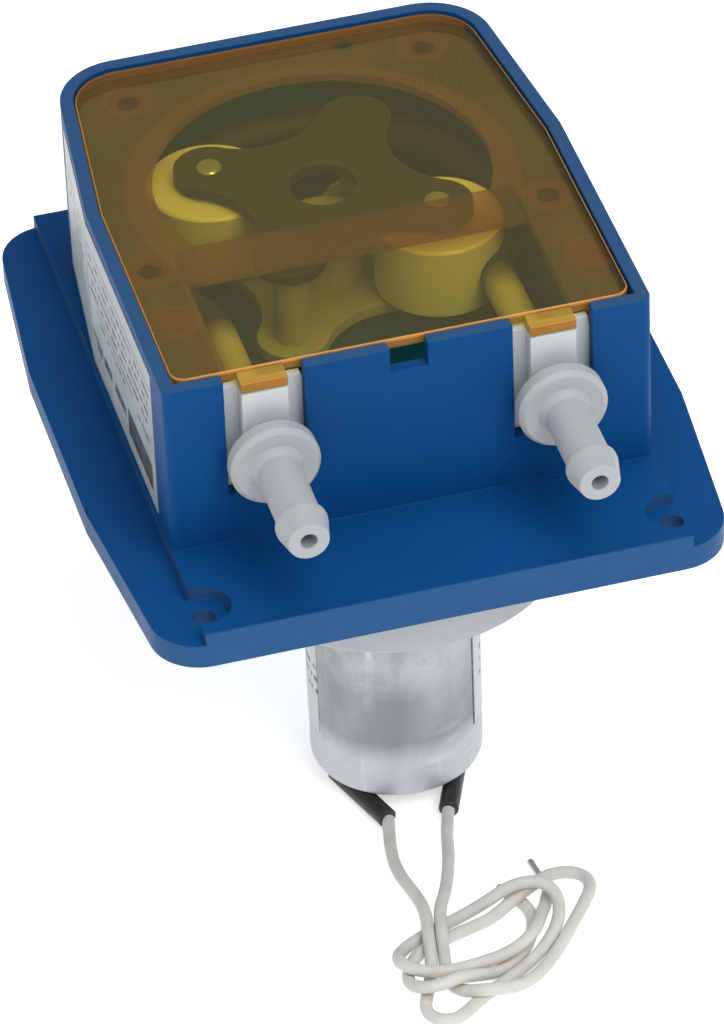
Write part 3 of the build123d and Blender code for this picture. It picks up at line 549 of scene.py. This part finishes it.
def zinc_plate(name, colour):
    """Galvanised drawn can: cloudy blotches, a darker middle band, a lighter end below it and
    small dark scuffs.
    """
    s = Shader(name, Metallic=0.45)
    blots = s.noise(55, detail=7, rough=0.7, stretch=(1, 1, 0.7))
    drips = s.noise(170, detail=4, stretch=(1, 1, 0.15))
    spangle = s.cells(260, stretch=(1, 1, 0.6))
    scuffs = s.noise(260, detail=4)
    tone = s.mix(s.span(blots, 0.36, 0.64, 0, 1), shade(colour, 0.60), shade(colour, 1.18))
    tone = s.mix(s.math("MULTIPLY", spangle, 0.18), tone, shade(colour, 1.30))
    tone = s.mix(s.span(drips, 0.52, 0.72, 0, 0.30), tone, shade(colour, 0.70))
    tone = s.mix(s.span(scuffs, 0.66, 0.74, 0, 0.55), tone, shade(colour, 0.42))
    hatch = s.math("MAXIMUM", s.noise(420, detail=2, stretch=(1, 1, 0.12)),
                   s.noise(420, detail=2, stretch=(0.12, 0.12, 1)))
    patches = s.span(s.noise(90, detail=2), 0.48, 0.62, 0.0, 0.5)
    tone = s.mix(s.math("MULTIPLY", s.span(hatch, 0.60, 0.70, 0, 1), patches), tone,
                 shade(colour, 1.55))
    height = s.axes()[2]
    above = s.span(height, (CAN_BAND[0] - 3) * MM, (CAN_BAND[0] + 2) * MM, 0.0, 1.0)
    below = s.span(height, (CAN_BAND[1] - 4) * MM, (CAN_BAND[1] + 4) * MM, 1.0, 0.0)
    patchy = s.span(s.noise(75, detail=3, stretch=(1, 1, 0.4)), 0.35, 0.6, 0.35, 1.0)
    band = s.math("MULTIPLY", s.math("MULTIPLY", above, below), patchy)
    tone = s.mix(s.math("MULTIPLY", band, 0.85), tone, shade(colour, 0.50))
    # Lighter below the band, towards the bottom.
    tone = s.mix(s.span(above, 0.0, 1.0, 0.55, 0.0), tone, shade(colour, 1.42))
    relief = s.math("ADD", blots, s.math("MULTIPLY", drips, 0.3))
    return s.finish(tone, s.spread(blots, 0.38, 0.62),
                    s.bump(relief, 0.08, 0.15, s.rounded(CAN_ROUND)))


def turned_metal(name, colour, roughness, stretch=(1, 1, 0.08)):
    """Turned or ground metal with fine tool marks and slight tarnish."""
    s = Shader(name, Metallic=1.0)
    marks = s.noise(1500, detail=3, stretch=stretch)
    tarnish = s.noise(130, detail=5)
    tone = s.mix(s.span(tarnish, 0.35, 0.7, 0, 1), shade(colour, 1.08), shade(colour, 0.78))
    tone = s.mix(s.span(marks, 0.55, 0.8, 0, 0.3), tone, shade(colour, 0.6))
    return s.finish(tone, s.spread(tarnish, roughness - 0.06, roughness + 0.14),
                    s.bump(marks, 0.12, 0.05, s.rounded(METAL_ROUND)))


def soft_rubber(name, colour, roughness, grime=0.25, specular=0.5):
    """Silicone or rubber: matt, slightly dusty, faint extrusion marks."""
    s = Shader(name, Specular_IOR_Level=specular)
    clouds = s.noise(190, detail=5)
    lint = s.noise(1400, detail=2)
    tone = s.mix(s.span(clouds, 0.35, 0.75, 0, grime), shade(colour, 1.05), shade(colour, 0.72))
    tone = s.mix(s.span(lint, 0.62, 0.75, 0, 0.25), tone, shade(colour, 0.62))
    height = s.math("ADD", clouds, s.math("MULTIPLY", lint, 0.4))
    return s.finish(tone, s.spread(clouds, roughness - 0.08, roughness + 0.12),
                    s.bump(height, 0.12, 0.08))


def race_darkened_tube(name):
    """Pale rubber tube, darker where it lies in the race."""
    s = Shader(name, Specular_IOR_Level=0.2)
    clouds = s.noise(95, detail=5)
    place = s.math("ADD", s.axes()[1], s.math("MULTIPLY", clouds, 6 * MM))
    # Fades to a dark tone from the race's mouth inward.
    race_darkening = s.span(place, RACE_MOUTH * MM, (RACE_MOUTH + RACE_DARK_FADE) * MM, 0, 1)
    tone = s.mix(race_darkening, TUBE_CLEAN, TUBE_DARK)
    tone = s.mix(s.span(s.noise(700, detail=2), 0.6, 0.75, 0, 0.25), tone,
                 shade(TUBE_DARK, 1.5))
    return s.finish(tone, s.spread(clouds, 0.34, 0.5), s.bump(clouds, 0.12, 0.08))


def printed_film(name, paper, ink, marks, rows):
    """Label film with plain generic marks: bars, rules and broken rows, no lettering."""
    s = Shader(name)
    _, along, rise = s.axes()
    mask = broken_rows(s, along, rise, rows)
    for centre, half in marks:
        mask = s.math("MAXIMUM", mask, s.box(along, rise, centre, half))
    fade = s.span(s.noise(500, detail=3), 0.3, 0.6, 0.80, 1.0)
    fibres = s.noise(120, detail=5)
    tone = s.mix(s.spread(fibres), shade(paper, 0.94), shade(paper, 1.04))
    tone = s.mix(s.math("MULTIPLY", mask, fade), tone, ink)
    return s.finish(tone, s.spread(fibres, 0.30, 0.45), s.bump(fibres, 0.08, 0.1))


# Each material with the CAD nodes that wear it.
DRESSING = (
    (casing_plastic("casing_blue_plastic"), ("pump_body",)),
    (lid_sheet("lid_amber_acrylic"), ("lid",)),
    (cover_sheet("cover_brown_acrylic"), ("race_cover",)),
    (fitting_plastic("fitting_grey_plastic"), ("fitting_left", "fitting_right")),
    (moulded("rotor_dark_plastic", (0.048, 0.048, 0.040), 0.4, specular=0.2),
     ("rotor_upper_plate",)),
    (moulded("rotor_pale_plastic", (0.50, 0.52, 0.42), 0.45, worn=1.1),
     ("rotor_lower_plate", "guide_post_left", "guide_post_right")),
    (moulded("roller_nylon", (0.90, 0.93, 0.74), 0.3, worn=1.05),
     ("roller_left", "roller_right")),
    (race_darkened_tube("tube_natural_rubber"), ("pump_tube",)),
    (turned_metal("turned_steel", (0.62, 0.62, 0.60), 0.28),
     ("roller_pin_left", "roller_pin_right", "output_shaft", "idler_pinion", "idler_pin",
      "gearbox_screws", "motor_screws", "motor_shaft")),
    (moulded("cover_stud_brown", (0.06, 0.022, 0.008), 0.5, specular=0.1),
     ("race_cover_screws",)),
    (turned_metal("sintered_bronze", (0.52, 0.34, 0.16), 0.45),
     ("shaft_bush", "motor_pinion", "motor_bushes")),
    (moulded("gear_acetal", (0.78, 0.76, 0.68), 0.35, worn=1.05),
     ("idler_wheel", "output_gear")),
    (moulded("gearbox_grey_plastic", (0.38, 0.405, 0.425), 0.55, worn=1.1, grain=0.12),
     ("gearbox_housing", "gearbox_cover")),
    (zinc_plate("motor_can_zinc", (0.42, 0.44, 0.455)), ("motor_can",)),
    (soft_rubber("magnet_ferrite", (0.05, 0.05, 0.055), 0.6), ("motor_magnets",)),
    (turned_metal("laminated_core", (0.32, 0.33, 0.34), 0.4, stretch=(0.05, 0.05, 1)),
     ("armature_core",)),
    (turned_metal("copper_winding", (0.62, 0.24, 0.09), 0.35, stretch=(0.2, 0.2, 1)),
     ("armature_windings", "commutator")),
    (soft_rubber("moulded_carbon", (0.02, 0.02, 0.022), 0.5),
     ("motor_end_cap", "motor_brushes")),
    (soft_rubber("sleeve_black", (0.012, 0.012, 0.013), 0.38),
     ("sleeve_left", "sleeve_right")),
    (turned_metal("tinned_copper", (0.52, 0.51, 0.50), 0.4, stretch=(1, 0.2, 1)),
     ("motor_terminals", "lead_tip_left", "lead_tip_right")),
    (printed_film("body_label_film", BODY_PAPER, BODY_INK, BODY_MARKS, BODY_ROWS),
     ("body_label",)),
    (printed_film("motor_label_film", MOTOR_PAPER, MOTOR_INK, MOTOR_MARKS, MOTOR_ROWS),
     ("motor_label",)),
)
LEAD_SILICONE = soft_rubber("lead_silicone", (0.56, 0.55, 0.51), 0.6, grime=0.5, specular=0.2)


def paint(thing, material):
    """Gives an object one material in every slot."""
    slots = thing.data.materials
    if not slots:
        slots.append(material)
    for index in range(len(slots)):
        slots[index] = material


for dress, names in DRESSING:
    for name in names:
        paint(NODES[name], dress)
for strand in (lead_left, lead_right, NODES["lead_left"], NODES["lead_right"],
               NODES["leads_coil"]):
    paint(strand, LEAD_SILICONE)


# ---------------------------------------------------------------- stage and light
FLOOR_HALF = 4.0
FLOOR_GLOW = 0.55
FLOOR_WHITE = ((0.88, 0.88, 0.88), (0.92, 0.92, 0.92))
WORLD_LIGHT = 0.55
# Lights as name, place and size in metres, and power in watts.
LIGHTS = (
    ("key", (0.30, -0.9, 1.0), 0.7, 8),
    ("top", (0.15, -0.1, 1.3), 0.8, 6),
    ("fill", (-0.9, -0.6, 0.4), 0.9, 1.5),
)


def make_floor():
    """White floor under the object that glows a little, so that soft shade stays pale."""
    mesh = bpy.data.meshes.new("floor")
    mesh.from_pydata([(x * FLOOR_HALF, y * FLOOR_HALF, FLOOR)
                      for x, y in ((-1, -1), (1, -1), (1, 1), (-1, 1))], [], [(0, 1, 2, 3)])
    floor = bpy.data.objects.new("floor", mesh)
    bpy.context.scene.collection.objects.link(floor)
    s = Shader("floor_paint", Specular_IOR_Level=0.1, Emission_Color=(1, 1, 1, 1),
               Emission_Strength=FLOOR_GLOW)
    clouds = s.noise(3, detail=3)
    mesh.materials.append(s.finish(s.mix(clouds, *FLOOR_WHITE), s.spread(clouds, 0.75, 0.85)))


def make_area_light(name, place, size, power):
    """Soft square light that faces the object."""
    data = bpy.data.lights.new(name, "AREA")
    data.shape = "SQUARE"
    data.size = size
    data.energy = power
    light = bpy.data.objects.new(name, data)
    light.location = place
    light.rotation_euler = (-Vector(place)).to_track_quat("-Z", "Y").to_euler()
    bpy.context.scene.collection.objects.link(light)


def make_world(strength):
    """Even white surroundings."""
    world = bpy.data.worlds.new("studio")
    world.use_nodes = True
    background = world.node_tree.nodes["Background"]
    background.inputs["Color"].default_value = (1, 1, 1, 1)
    background.inputs["Strength"].default_value = strength
    bpy.context.scene.world = world


make_floor()
make_world(WORLD_LIGHT)
for light in LIGHTS:
    make_area_light(*light)
bpy.context.scene.view_settings.view_transform = "Standard"
